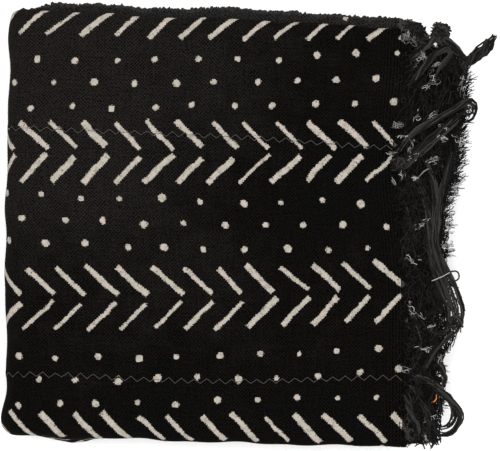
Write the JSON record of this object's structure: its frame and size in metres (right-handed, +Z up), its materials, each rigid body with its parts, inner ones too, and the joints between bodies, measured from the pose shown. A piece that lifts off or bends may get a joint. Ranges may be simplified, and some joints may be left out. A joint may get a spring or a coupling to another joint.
{
  "type": "folded mud cloth",
  "caption": "Bogolan mud cloth of hand-woven cotton strips sewn edge to edge, painted with pale chevrons and dots, fringed, and folded into a flat square pile.",
  "frame": {"origin": "middle of the box, on the table under the pile", "axes": "+X along the strips towards the fringe, +Y across the strips towards the selvedges, +Z up"},
  "size_m": [0.2864, 0.2594, 0.0406],
  "materials": {
    "dyed_cotton": "matte hand-woven cotton, mud-dyed near black, with off-white painted marks",
    "fringe_yarn": "matte hand-spun cotton yarn, near black with pale undyed fibres"
  },
  "bodies": {
    "root": {"strip_1": "dyed_cotton", "strip_2": "dyed_cotton", "strip_3": "dyed_cotton", "strip_4": "dyed_cotton", "strip_5": "dyed_cotton", "strip_6": "dyed_cotton", "strip_7": "dyed_cotton", "fringe_upper": "fringe_yarn", "fringe_under": "fringe_yarn"}
  },
  "joints": []
}
